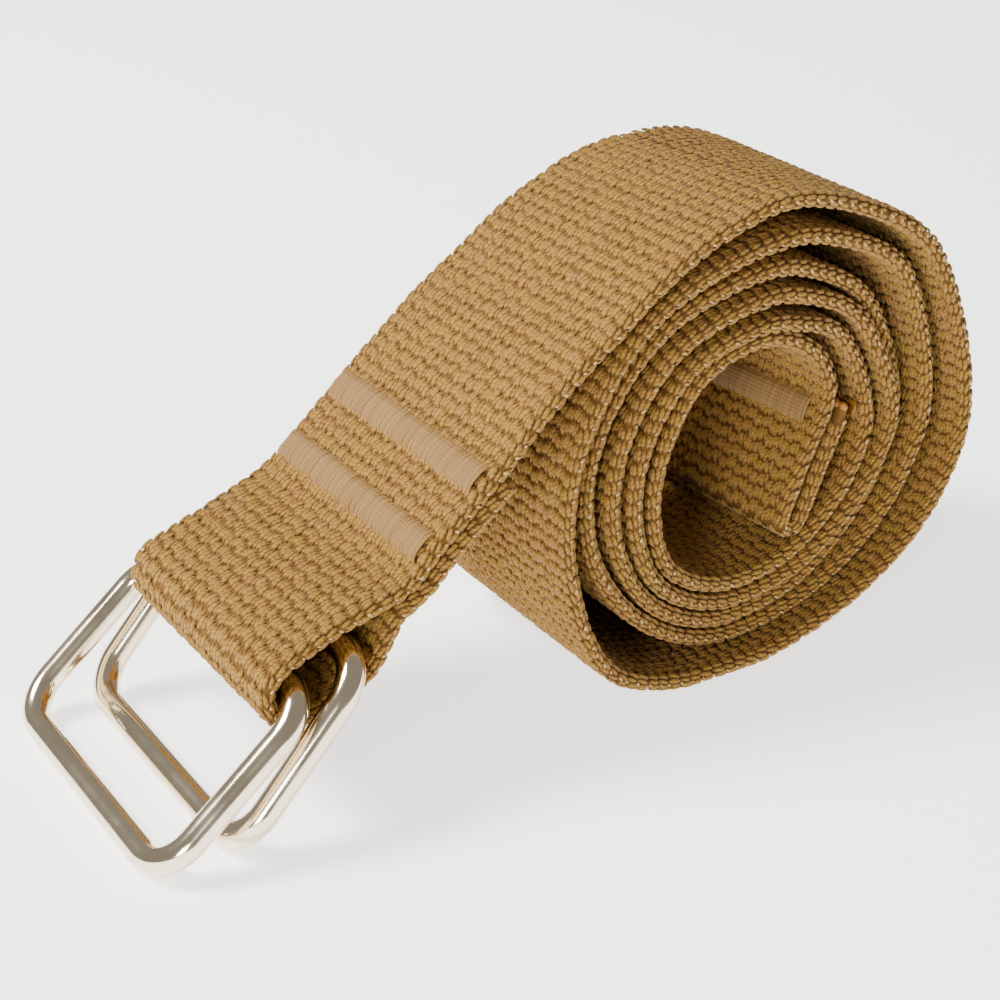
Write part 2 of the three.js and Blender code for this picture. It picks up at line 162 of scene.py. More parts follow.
class WebbingSettings(bpy.types.PropertyGroup):
    width: bpy.props.FloatProperty(
        name="Width", description="Width of the cotton webbing", default=38 * MM, unit="LENGTH"
    )
    thickness: bpy.props.FloatProperty(
        name="Thickness", description="Thickness of one layer", default=2.1 * MM, unit="LENGTH"
    )
    layer_gap: bpy.props.FloatProperty(
        name="Layer Gap", description="Air between touching layers", default=0.4 * MM, unit="LENGTH"
    )
    fit_gap: bpy.props.FloatProperty(
        name="Fit Gap", description="Air between separate pieces", default=0.3 * MM, unit="LENGTH"
    )
    core_thickness: bpy.props.FloatProperty(
        name="Core Thickness",
        description="Thickness of the cloth under the raised floats",
        default=1.4 * MM,
        unit="LENGTH",
    )
    pick_pitch: bpy.props.FloatProperty(
        name="Pick Pitch", description="From one weft pick to the next", default=1.86 * MM,
        unit="LENGTH",
    )
    rib_pairs: bpy.props.IntProperty(
        name="Rib Pairs", description="Pairs of warp ribs all round the webbing", default=23
    )
    stretches: bpy.props.IntProperty(
        name="Stretches", description="Pieces the floats are split into", default=8
    )
    float_rise: bpy.props.FloatProperty(
        name="Float Rise", description="How far a warp strand stands up", default=0.38 * MM,
        unit="LENGTH",
    )
    flap_length: bpy.props.FloatProperty(
        name="Flap Length", description="Length of the folded tip", default=17 * MM, unit="LENGTH"
    )
    flap_spread: bpy.props.FloatProperty(
        name="Flap Spread", description="How far the flap's cut end springs off",
        default=0.4 * MM, unit="LENGTH",
    )
    fold_bend: bpy.props.FloatProperty(
        name="Fold Bend", description="Bend radius of the tip's fold", default=1.6 * MM,
        unit="LENGTH",
    )
    loop_end_at: bpy.props.FloatProperty(
        name="Loop End", description="From the loop's tip to the under layer's end",
        default=40.2 * MM, unit="LENGTH",
    )
    loop_join_at: bpy.props.FloatProperty(
        name="Loop Join", description="From the loop's tip to where the layers meet",
        default=20.5 * MM, unit="LENGTH",
    )
    yarn_colour: bpy.props.StringProperty(
        name="Yarn Colour", description="Main sRGB colour of the cotton yarn", default="#937027"
    )
    warm_colour: bpy.props.StringProperty(
        name="Warm Yarn Colour", description="Pinker yarns among the others", default="#956B2F"
    )
    # Painted shade: the colour the yarns darken to in the grooves between the floats
    groove_shade_colour: bpy.props.StringProperty(
        name="Groove Colour", description="Shaded cotton between the floats", default="#6A4A20"
    )
    speck_colour: bpy.props.StringProperty(
        name="Speck Colour", description="Pale weft turns on the woven edges", default="#C4A66C"
    )


class RollSettings(bpy.types.PropertyGroup):
    hub_height: bpy.props.FloatProperty(
        name="Hub Height", description="Height of the roll's hub", default=30.8 * MM, unit="LENGTH"
    )
    radius: bpy.props.FloatProperty(
        name="Radius", description="Reach of the outermost turn", default=34.5 * MM, unit="LENGTH"
    )
    slack: bpy.props.FloatProperty(
        name="Slack", description="Unit of the air between turns", default=2 * MM, unit="LENGTH"
    )
    recess: bpy.props.FloatProperty(
        name="Recess", description="How far inner turns stand back", default=3.5 * MM, unit="LENGTH"
    )
    last_turn_top: bpy.props.FloatProperty(
        name="Last Turn Top", description="Reach of the innermost turn over the hollow",
        default=15.95 * MM, unit="LENGTH",
    )
    fold_turn: bpy.props.FloatProperty(
        name="Fold Turn", description="Direction from the hub to the tip's fold",
        default=math.radians(151), subtype="ANGLE",
    )
    tip_recess: bpy.props.FloatProperty(
        name="Tip Recess", description="How far the tip stands back, as a share of the recess",
        default=1.2,
    )
    tip_twist: bpy.props.FloatProperty(
        name="Tip Twist", description="How far round the hub the tip's rear edge is turned",
        default=math.radians(8), subtype="ANGLE",
    )


class RingSettings(bpy.types.PropertyGroup):
    wire: bpy.props.FloatProperty(
        name="Wire", description="Diameter of the ring wire", default=3.6 * MM, unit="LENGTH"
    )
    side_room: bpy.props.FloatProperty(
        name="Side Room", description="Between the webbing and each side bar", default=1 * MM,
        unit="LENGTH",
    )
    length: bpy.props.FloatProperty(
        name="Length", description="From bar to bar, wire centres", default=26 * MM, unit="LENGTH"
    )
    corner: bpy.props.FloatProperty(
        name="Corner", description="Corner radius of the wire's centre line", default=5.5 * MM,
        unit="LENGTH",
    )
    upper_tilt: bpy.props.FloatProperty(
        name="Upper Tilt", description="Slope of the upper ring", default=math.radians(40),
        subtype="ANGLE",
    )
    lower_tilt: bpy.props.FloatProperty(
        name="Lower Tilt", description="Slope of the lower ring", default=math.radians(48),
        subtype="ANGLE",
    )
    upper_bar_at: bpy.props.FloatProperty(
        name="Upper Bar", description="From the hub to the upper ring's bar in the loop",
        default=71.0 * MM, unit="LENGTH",
    )
    lower_bar_at: bpy.props.FloatProperty(
        name="Lower Bar", description="From the hub to the lower ring's bar in the loop",
        default=63.6 * MM, unit="LENGTH",
    )
    metal_colour: bpy.props.StringProperty(
        name="Metal Colour", description="Pale gold plating", default="#E6D6BA"
    )


class TackSettings(bpy.types.PropertyGroup):
    length: bpy.props.FloatProperty(
        name="Length", description="Along the webbing", default=4.2 * MM, unit="LENGTH"
    )
    height: bpy.props.FloatProperty(
        name="Height", description="How far the thread stands up", default=0.7 * MM, unit="LENGTH"
    )
    thread_pitch: bpy.props.FloatProperty(
        name="Thread Pitch", description="From one stitch to the next", default=0.3 * MM,
        unit="LENGTH",
    )
    front_inset: bpy.props.FloatProperty(
        name="Front Inset", description="Bare webbing at the front", default=1.8 * MM,
        unit="LENGTH",
    )
    tip_front_inset: bpy.props.FloatProperty(
        name="Tip Front Inset", description="Bare webbing at the front of the tip's tack",
        default=2.9 * MM, unit="LENGTH",
    )
    rear_inset: bpy.props.FloatProperty(
        name="Rear Inset", description="Bare webbing at the rear", default=0.8 * MM, unit="LENGTH"
    )
    inner_at: bpy.props.FloatProperty(
        name="Inner Tack", description="From the loop's tip", default=27.3 * MM, unit="LENGTH"
    )
    outer_at: bpy.props.FloatProperty(
        name="Outer Tack", description="From the loop's tip", default=37.7 * MM, unit="LENGTH"
    )
    from_end: bpy.props.FloatProperty(
        name="Tip Tack", description="From the flap's cut end to its tack", default=2.4 * MM,
        unit="LENGTH",
    )
    tip_skew: bpy.props.FloatProperty(
        name="Tip Skew", description="How far the tip's tack runs off square", default=1 * MM,
        unit="LENGTH",
    )
    thread_colour: bpy.props.StringProperty(
        name="Thread Colour", description="Sewing thread of the bar tacks", default="#88642C"
    )


class StudioSettings(bpy.types.PropertyGroup):
    floor_colour: bpy.props.StringProperty(
        name="Floor Colour", description="Plain pale floor", default="#FAFAF8"
    )
    lens: bpy.props.FloatProperty(
        name="Lens", description="Focal length on a 36 mm sensor, in millimetres", default=75.6
    )
    yaw: bpy.props.FloatProperty(
        name="Yaw", description="From +Y towards +X", default=math.radians(32.29), subtype="ANGLE"
    )
    pitch: bpy.props.FloatProperty(
        name="Pitch", description="Below the horizon", default=math.radians(26.64),
        subtype="ANGLE",
    )
    seat: bpy.props.FloatVectorProperty(
        name="Seat", description="The camera's place from the hub's floor point",
        default=(-163.07 * MM, -208.8 * MM, 149.18 * MM), subtype="XYZ", unit="LENGTH",
    )


# The webbing's middle line, in metres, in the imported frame


def hub_shift(ring):
    """From the hub's floor point, where the tables start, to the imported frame's origin."""
    low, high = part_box("upper_ring")
    foot = ring.upper_bar_at + ring.length * math.cos(ring.upper_tilt)
    return Vector((low.x + foot + ring.wire / 2, (low.y + high.y) / 2, 0))


def centripetal(controls, steps):
    """Points on a centripetal Catmull-Rom line, with the given steps for each stretch."""
    p = np.array(controls, float)
    p = np.vstack([2 * p[0] - p[1], p, 2 * p[-1] - p[-2]])
    out = []
    for i in range(len(p) - 3):
        a, b, c, d = p[i : i + 4]
        before, here, after = (np.linalg.norm(e - s) ** 0.5 for s, e in ((a, b), (b, c), (c, d)))
        here = here if here > 1e-5 else 1.0
        before = before if before > 1e-5 else here
        after = after if after > 1e-5 else here
        m1 = here * ((b - a) / before - (c - a) / (before + here) + (c - b) / here)
        m2 = here * ((c - b) / here - (d - b) / (here + after) + (d - c) / after)
        for k in range(steps):
            t = k / steps
            out.append(
                b + m1 * t + (3 * (c - b) - 2 * m1 - m2) * t**2 + (m1 + m2 - 2 * (c - b)) * t**3
            )
    out.append(p[-2])
    return np.array(out)


def lengths_along(points):
    """Length along a line up to each of its points."""
    return np.r_[0, np.cumsum(np.linalg.norm(np.diff(points, axis=0), axis=1))]


def outward(points):
    """Unit directions out of the webbing's upper face, in the plane of the roll."""
    ahead = np.gradient(points[:, :3], axis=0)
    ahead[:, 1] = 0
    ahead /= np.linalg.norm(ahead, axis=1)[:, None]
    return np.stack([-ahead[:, 2], np.zeros(len(ahead)), ahead[:, 0]], -1)


def arc(centre, start, end, sense, steps):
    """Points on a circle from start to end, anticlockwise where sense is +1."""
    radius = np.linalg.norm(start - centre)
    a0 = math.atan2(*(start - centre)[::-1])
    sweep = math.atan2(*(end - centre)[::-1]) - a0
    if sense * sweep < 0:
        sweep += sense * 2 * math.pi
    angles = a0 + sweep * np.arange(steps + 1) / steps
    return [centre + radius * np.array([math.cos(a), math.sin(a)]) for a in angles]


def tangent_point(start, centre, radius, side):
    """Where a line from start touches a circle, on the chosen side."""
    to = centre - start
    spread = math.acos(radius / np.linalg.norm(to))
    a = math.atan2(-to[1], -to[0]) + side * spread
    return centre + radius * np.array([math.cos(a), math.sin(a)])


def ring_bars(bar_at, tilt, ring):
    """Centres, as x and z from the hub, of a ring's floor bar and loop bar."""
    reach = ring.length * np.array([math.cos(tilt), math.sin(tilt)])
    loop_bar = np.array([-bar_at, ring.wire / 2 + reach[1]])
    return loop_bar - reach, loop_bar


def unit(vector):
    """The vector at length one."""
    return vector / np.linalg.norm(vector)


class BeltLine:
    """The webbing's middle line, with its outward directions, the shift of its rear edge against
    its front edge, and the runs of its marks. Each control is x, z, back, rear x and rear z."""

    def __init__(self, scene, steps=10):
        self.web, self.roll = scene.belt_webbing, scene.belt_roll
        self.ring = scene.belt_ring
        self.half = self.web.thickness / 2
        self.layer_step = self.web.thickness + self.web.layer_gap
        self.rows = [dict(zip(ROLL_COLUMNS, row)) for row in ROLL_ROWS]
        self.upper = ring_bars(self.ring.upper_bar_at, self.ring.upper_tilt, self.ring)[1]
        self.lower = ring_bars(self.ring.lower_bar_at, self.ring.lower_tilt, self.ring)[1]
        corner = self.ring.corner
        side_bar = self.web.width / 2 + self.ring.side_room + self.ring.wire / 2
        bent = min(corner, max(0.0, self.web.width / 2 - (side_bar - corner)))
        drop = corner - math.sqrt(corner**2 - bent**2)
        self.loop_radius = self.ring.wire / 2 + self.web.fit_gap + drop + self.half

        under, upper = self.strap_controls()
        controls = np.array(under + upper + self.roll_controls() + self.tongue_controls())
        line = centripetal(controls[:, [0, 2, 1]], steps)
        line[:, 2] = np.maximum(line[:, 2], self.half)
        place = np.arange(len(line)) / steps
        x, z = (np.interp(place, range(len(controls)), controls[:, k]) for k in (3, 4))
        self.rear = np.stack([x, np.zeros(len(line)), z], -1)
        self.out = outward(line)
        self.points = line + np.array(hub_shift(self.ring))
        self.runs = lengths_along(self.points)
        self.tip_run = self.runs[steps * len(under)]
        self.end_run = self.runs[-1]
        self.fold_run = self.end_run - self.web.flap_length - math.pi * self.web.fold_bend

    def from_hub(self, turn, radius):
        a = math.radians(turn)
        return np.array([radius * math.sin(a), self.roll.hub_height + radius * math.cos(a)])

    def reach(self, number, row):
        """Outer reach of a turn (1 is the outermost) in one row of the roll."""
        inwards = sum(
            self.layer_step + row[f"slack{k}"] * self.roll.slack for k in range(1, number)
        )
        return row["reach"] * self.roll.radius - inwards

    def recess(self, number, turn):
        sides = np.array(RECESS_ROWS, float).ravel()
        return self.roll.recess * np.interp((number - 1) * 4 + turn / 90, range(len(sides)), sides)

    def strap_controls(self):
        """The under layer up to the loop's tip, and the strap from there to the roll."""
        top = self.from_hub(0, self.reach(1, self.rows[0]) - self.half)
        chord = self.upper - top
        above = np.array([chord[1], -chord[0]])
        strap = []
        for along, rise, lean in reversed(STRAP_ROWS):
            point = top + chord * along + above * rise
            strap.append((*point, 0.0, *(-lean * self.web.thickness * unit(above))))
        touch = tangent_point(np.array(strap[0][:2]), self.upper, self.loop_radius, 1)
        tip = self.upper - np.array([self.loop_radius, 0])
        upper = self.on_bar(self.upper, tip, touch, 3) + strap

        top_rear = self.rows[0]["lean"] * self.web.thickness
        guide = np.array(upper + [(*top, 0.0, 0.0, -top_rear)])
        line = centripetal(guide[:, [0, 2, 1]], GUIDE_STEPS)
        runs, out = lengths_along(line), outward(line)
        under = []
        run, join = self.web.loop_end_at, self.web.loop_join_at
        while run > join:
            under.append(self.under_point(guide, line, runs, out, run))
            run -= UNDER_STEP
        under.append(self.under_point(guide, line, runs, out, join))
        below = unit(self.upper - self.lower)[::-1] * (-self.loop_radius, self.loop_radius)
        arrive = tangent_point(np.array(under[-1][:2]), self.lower, self.loop_radius, -1)
        under += self.on_bar(self.lower, arrive, self.lower + below, 2)
        under += self.on_bar(self.upper, self.upper + below, tip, 4)
        return under[:-1], upper

    def on_bar(self, bar, start, end, steps):
        """Controls clockwise round a ring's bar."""
        return [(*point, 0.0, 0.0, 0.0) for point in arc(bar, start, end, -1, steps)]

    def under_point(self, guide, line, runs, out, run):
        """Control of the under layer, one layer below the upper one at a run."""
        x, z = (np.interp(run, runs, line[:, k] - self.layer_step * out[:, k]) for k in (0, 2))
        place = np.interp(run, runs, np.arange(len(runs)) / GUIDE_STEPS)
        rear = [np.interp(place, range(len(guide)), guide[:, k]) for k in (3, 4)]
        return (x, z, 0.0, *rear)

    def roll_controls(self):
        """The turns of the roll, from the top of the outermost one inwards."""
        controls = []
        for number in range(1, TURNS + 1):
            for row in self.rows:
                point = self.from_hub(row["turn"], self.reach(number, row) - self.half)
                lean = row["lean"] * self.web.thickness if number == 1 else 0.0
                rear = self.from_hub(row["turn"], -lean) - self.from_hub(row["turn"], 0)
                controls.append((*point, self.recess(number, row["turn"]), *rear))
        return controls

    def tongue_controls(self):
        """Over the hollow, down its right side and folded back outwards."""
        web, roll = self.web, self.roll
        row = next(r for r in self.rows if r["turn"] == 160)
        inwards = web.thickness + web.layer_gap + web.fold_bend + self.half
        fold = self.from_hub(math.degrees(roll.fold_turn), self.reach(TURNS, row) - inwards)
        over = [
            self.from_hub(turn, roll.last_turn_top - k * self.half) for turn, k in HOLLOW_ROWS
        ]
        inner = tangent_point(over[-1], fold, web.fold_bend, 1)
        down = unit(inner - over[-1])
        aside = np.array([-down[1], down[0]])
        outer = fold + aside * web.fold_bend
        flap = [
            outer - down * share * web.flap_length + aside * share**2 * web.flap_spread
            for share in (0.5, 1)
        ]
        points = [*over, (over[-1] + inner) / 2, *arc(fold, inner, outer, 1, 6), *flap]
        hub = self.from_hub(0, 0)
        controls = []
        for i, point in enumerate(points):
            twist = -roll.tip_twist * min(1, i / len(over))
            cos, sin = math.cos(twist), math.sin(twist)
            x, z = point - hub
            rear = np.array([x * cos - z * sin, x * sin + z * cos]) - (x, z)
            back = roll.recess * max(roll.tip_recess, TIP_BACK[0] - TIP_BACK[1] * i)
            controls.append((*point, back, *rear))
        return controls


# Node trees


class Nodes:
    """Short calls that add nodes to one tree. Every value is a socket to link or a plain value."""

    def __init__(self, tree):
        self.tree = tree

    def add(self, kind, inputs=None, **settings):
        """Adds a node with its settings, sets or links its inputs, and returns its outputs."""
        node = self.tree.nodes.new(kind)
        for name, value in settings.items():
            setattr(node, name, value)
        for key, value in (inputs or {}).items():
            if isinstance(value, bpy.types.NodeSocket):
                self.tree.links.new(value, node.inputs[key])
            else:
                node.inputs[key].default_value = value
        return node.outputs

    def first(self, kind, inputs=None, **settings):
        """Adds a node and returns its first output."""
        return self.add(kind, inputs, **settings)[0]

    def calc(self, operation, *values):
        """Result of a sum with up to three numbers."""
        return self.first("ShaderNodeMath", dict(enumerate(values)), operation=operation)

    def scaled(self, vector, by):
        """A vector times a number."""
        return self.first("ShaderNodeVectorMath", {0: vector, "Scale": by}, operation="SCALE")

    def vector(self, **parts):
        """A vector with the given X, Y and Z, and zero for the others."""
        return self.first("ShaderNodeCombineXYZ", parts)

    def parts(self, vector):
        """X, Y and Z of a vector."""
        return self.add("ShaderNodeSeparateXYZ", {0: vector})


class Paint(Nodes):
    """A new material's tree."""

    def __init__(self, name):
        self.material = bpy.data.materials.new(name)
        self.material.use_nodes = True
        super().__init__(self.material.node_tree)
        self.tree.nodes.clear()

    def attribute(self, name, output):
        return self.add("ShaderNodeAttribute", attribute_name=name)[output]

    def noise(self, scale, detail, roughness=0.5):
        """Noise in the object's own coordinates."""
        where = self.add("ShaderNodeTexCoord")["Object"]
        values = {"Vector": where, "Scale": scale, "Detail": detail, "Roughness": roughness}
        return self.add("ShaderNodeTexNoise", values)["Fac"]

    def mapped(self, value, low, high, to_low=0.0, to_high=1.0, **settings):
        return self.first("ShaderNodeMapRange", {
            "Value": value, "From Min": low, "From Max": high, "To Min": to_low, "To Max": to_high,
        }, **settings)

    def mixed(self, share, dark, light):
        """A mix of two colours, each a hex colour or an output."""
        pair = [linear(c) if isinstance(c, str) else c for c in (dark, light)]
        inputs = {"Factor": share, 6: pair[0], 7: pair[1]}
        return self.add("ShaderNodeMix", inputs, data_type="RGBA")[2]

    def bump(self, strength, distance, height):
        inputs = {"Strength": strength, "Distance": distance, "Height": height}
        return self.first("ShaderNodeBump", inputs)

    def finish(self, **values):
        """Adds the shader and the output. Input names have their spaces as underscores."""
        inputs = {name.replace("_", " "): value for name, value in values.items()}
        self.add("ShaderNodeOutputMaterial", {
            "Surface": self.first("ShaderNodeBsdfPrincipled", inputs),
        })
        return self.material


# Materials


def cotton_yarn(web):
    """Soft-spun carded cotton: matt, slightly fuzzy yarns, with painted shade that darkens them
    towards their crossings.
    """
    paint = Paint("carded_cotton_yarn")
    along, across, up = paint.parts(paint.attribute("place", "Vector"))
    # Faded and warmer patches some 12 mm across, as in cloth that has been handled
    tone = paint.attribute("tone", "Fac")
    share = paint.calc("MULTIPLY_ADD", tone, 0.55, paint.noise(80.0, 2.0))
    yarn = paint.mixed(paint.mapped(share, 0.4, 1.1), web.yarn_colour, web.warm_colour)
    # Fibres: fine streaks under half a millimetre long
    fibres = paint.noise(2600.0, 3.0, 0.7)
    # Ply twist: three slanting marks on each strand, some 0.7 mm apart, in the bump and as painted
    # light and shade in the colour
    ply = paint.calc("MULTIPLY", across, 2.4)
    ply = paint.calc("SINE", paint.calc("MULTIPLY_ADD", along, 10.0, ply))
    height = paint.calc("MULTIPLY_ADD", ply, 0.12, fibres)
    # Painted shade: each strand darkens from its top towards the shade colour of the grooves, where
    # it meets the ground between the floats
    unshaded_share = paint.mapped(up, 0.0, 0.75, interpolation_type="SMOOTHSTEP")
    shaded = paint.mixed(unshaded_share, web.groove_shade_colour, yarn)
    # The colour follows the bump's height: painted light on the ply ridges and painted shade
    # between them, with the fibre streaks as random tone
    return paint.finish(
        Base_Color=paint.scaled(shaded, paint.mapped(height, 0.25, 0.75, 0.6, 1.35)),
        Normal=paint.bump(0.8, 0.2 * MM, height),
        Roughness=0.9, IOR=1.5, Specular_IOR_Level=0.25, Sheen_Weight=0.1, Sheen_Roughness=0.5,
    )


def shade_dark_cotton_core():
    """The ground of the weave, painted dark as shade, seen only as dark points between the floats.
    """
    paint = Paint("cotton_weave_ground")
    # Painted shade: darker browns than the yarn, standing for the shade between the floats
    colour = paint.mixed(paint.noise(900.0, 3.0), "#553816", "#7A5726")
    return paint.finish(Base_Color=colour, Roughness=0.95, Specular_IOR_Level=0.15)


def weft_turn(web):
    """Pale undyed-looking weft turns that show as specks along the woven edges."""
    paint = Paint("pale_weft_yarn")
    colour = paint.mixed(paint.noise(700.0, 2.0), "#B48E54", web.speck_colour)
    return paint.finish(Base_Color=colour, Roughness=0.85)


def singed_cotton():
    """Cut end sealed with heat: hard, slightly glossy orange-brown cotton."""
    paint = Paint("singed_cotton_end")
    mottle = paint.noise(1100.0, 3.0)
    return paint.finish(
        Base_Color=paint.mixed(mottle, "#7E4E14", "#B8782A"),
        Normal=paint.bump(0.7, 0.2 * MM, mottle), Roughness=0.45,
    )


def sewing_thread(tack):
    """Twisted polyester-cotton thread: smoother than the webbing, with a dull silky shine."""
    paint = Paint("corespun_sewing_thread")
    along, across, _ = paint.parts(paint.attribute("place", "Vector"))
    # Twist: one slanting ply mark about every 0.5 mm along the thread, in the bump and as a little
    # painted light and shade in the colour
    twist = paint.calc("SINE", paint.calc("MULTIPLY_ADD", along, 26.0, across))
    # Painted light and shade: the colour rises and falls slightly with each twist mark; the tone
    # added next is random from stitch to stitch
    light = paint.calc("MULTIPLY_ADD", twist, 0.06, 0.8)
    light = paint.calc("MULTIPLY_ADD", paint.attribute("tone", "Fac"), 0.4, light)
    return paint.finish(
        Base_Color=paint.scaled(linear(tack.thread_colour)[:3], light),
        Normal=paint.bump(0.4, 0.04 * MM, twist),
        Roughness=0.6, Specular_IOR_Level=0.35, Sheen_Weight=0.15,
    )


def plated_steel(ring):
    """Drawn steel wire with polished pale gold plating: mirror-like, with faint drawing marks."""
    paint = Paint("pale_gold_plated_steel")
    return paint.finish(
        Base_Color=linear(ring.metal_colour), Metallic=1.0,
        Roughness=paint.mapped(paint.noise(160.0, 4.0, 0.6), 0.3, 0.7, 0.08, 0.2),
        Normal=paint.bump(0.25, 0.25 * MM, paint.noise(70.0, 1.0)),
    )


def pale_paper(studio):
    """Plain matt paper, lit from below as on a white light table."""
    colour = linear(studio.floor_colour)
    return Paint("pale_paper_floor").finish(
        Base_Color=colour, Roughness=0.9, Specular_IOR_Level=0.1,
        Emission_Color=colour, Emission_Strength=FLOOR_GLOW,
    )


# Geometry Nodes


SOCKET_KINDS = {float: "Float", int: "Int", tuple: "Vector", type(None): "Material"}


class Maker(Nodes):
    """A Geometry Nodes tree with a geometry socket each way and the named inputs."""

    def __init__(self, name, sockets):
        super().__init__(bpy.data.node_groups.new(name, "GeometryNodeTree"))
        ends = self.tree.interface
        ends.new_socket("Geometry", in_out="INPUT", socket_type="NodeSocketGeometry")
        for label, default in sockets.items():
            kind = "NodeSocket" + SOCKET_KINDS[type(default)]
            socket = ends.new_socket(label, in_out="INPUT", socket_type=kind)
            if default is not None:
                socket.default_value = default
        ends.new_socket("Geometry", in_out="OUTPUT", socket_type="NodeSocketGeometry")
        self.given = self.add("NodeGroupInput")

    def joined(self, *vectors):
        """Sum of vectors."""
        total = vectors[0]
        for vector in vectors[1:]:
            total = self.first("ShaderNodeVectorMath", {0: total, 1: vector})
        return total

    def sample_belt(self, along):
        """The middle line at a length, and the direction out of the webbing's upper face."""
        line = self.first("GeometryNodeMeshToCurve", {0: self.given["Geometry"]})
        rear = self.first(
            "GeometryNodeInputNamedAttribute", {"Name": "rear"}, data_type="FLOAT_VECTOR"
        )
        path = self.add(
            "GeometryNodeSampleCurve", {"Curves": line, "Length": along, "Value": rear},
            mode="LENGTH", data_type="FLOAT_VECTOR",
        )
        up = self.first(
            "ShaderNodeVectorMath", {0: path["Tangent"], 1: (0, 1, 0)}, operation="CROSS_PRODUCT"
        )
        return path, self.first("ShaderNodeVectorMath", {0: up}, operation="NORMALIZE")

    def on_belt(self, path, up, height, share, across):
        """Place over the middle line at a height and across; share is across by the width."""
        rearward = self.scaled(path["Value"], self.calc("ADD", share, 0.5))
        aside = self.vector(Y=across)
        return self.joined(self.scaled(up, height), rearward, aside, path["Position"])

    def loose(self, amount):
        """A random vector for each point, within the amount either way."""
        return self.first("FunctionNodeRandomValue", {
            0: (-amount,) * 3, 1: (amount,) * 3, "Seed": self.given["Seed"],
        }, data_type="FLOAT_VECTOR")

    def keep_place(self, geometry, place):
        """Stores each point's own place in the piece for the material."""
        return self.first(
            "GeometryNodeStoreNamedAttribute",
            {"Geometry": geometry, "Name": "place", "Value": place},
            data_type="FLOAT_VECTOR", domain="POINT",
        )

    def lay(self, points, place, piece, turn, grown, draw):
        """Sets a copy of the piece on each point. turn is the face's direction, the belt's
        direction and a swing about the face; draw is the inputs of the tone's random draw."""
        face, ahead, swing = turn
        turned = self.first(
            "FunctionNodeAxesToRotation", {"Primary Axis": face, "Secondary Axis": ahead},
            primary_axis="Z", secondary_axis="X",
        )
        swing = self.first("FunctionNodeEulerToRotation", {0: self.vector(Z=swing)})
        turned = self.first(
            "FunctionNodeRotateRotation", {"Rotation": turned, "Rotate By": swing},
            rotation_space="LOCAL",
        )
        set_on = self.first("GeometryNodeSetPosition", {"Geometry": points, "Position": place})
        smooth = self.first("GeometryNodeSetShadeSmooth", {"Geometry": piece})
        laid = self.first("GeometryNodeInstanceOnPoints", {
            "Points": set_on, "Instance": smooth, "Rotation": turned, "Scale": grown,
        })
        tone = self.add("FunctionNodeRandomValue", draw, data_type="FLOAT")[1]
        return self.finish(self.first(
            "GeometryNodeStoreNamedAttribute", {"Geometry": laid, "Name": "tone", "Value": tone},
            data_type="FLOAT", domain="INSTANCE",
        ))

    def finish(self, geometry):
        """Ends the tree in plain geometry with its material."""
        real = self.first("GeometryNodeRealizeInstances", {"Geometry": geometry})
        painted = self.first(
            "GeometryNodeSetMaterial", {"Geometry": real, "Material": self.given["Material"]}
        )
        self.add("NodeGroupOutput", {0: painted})
        return self.tree


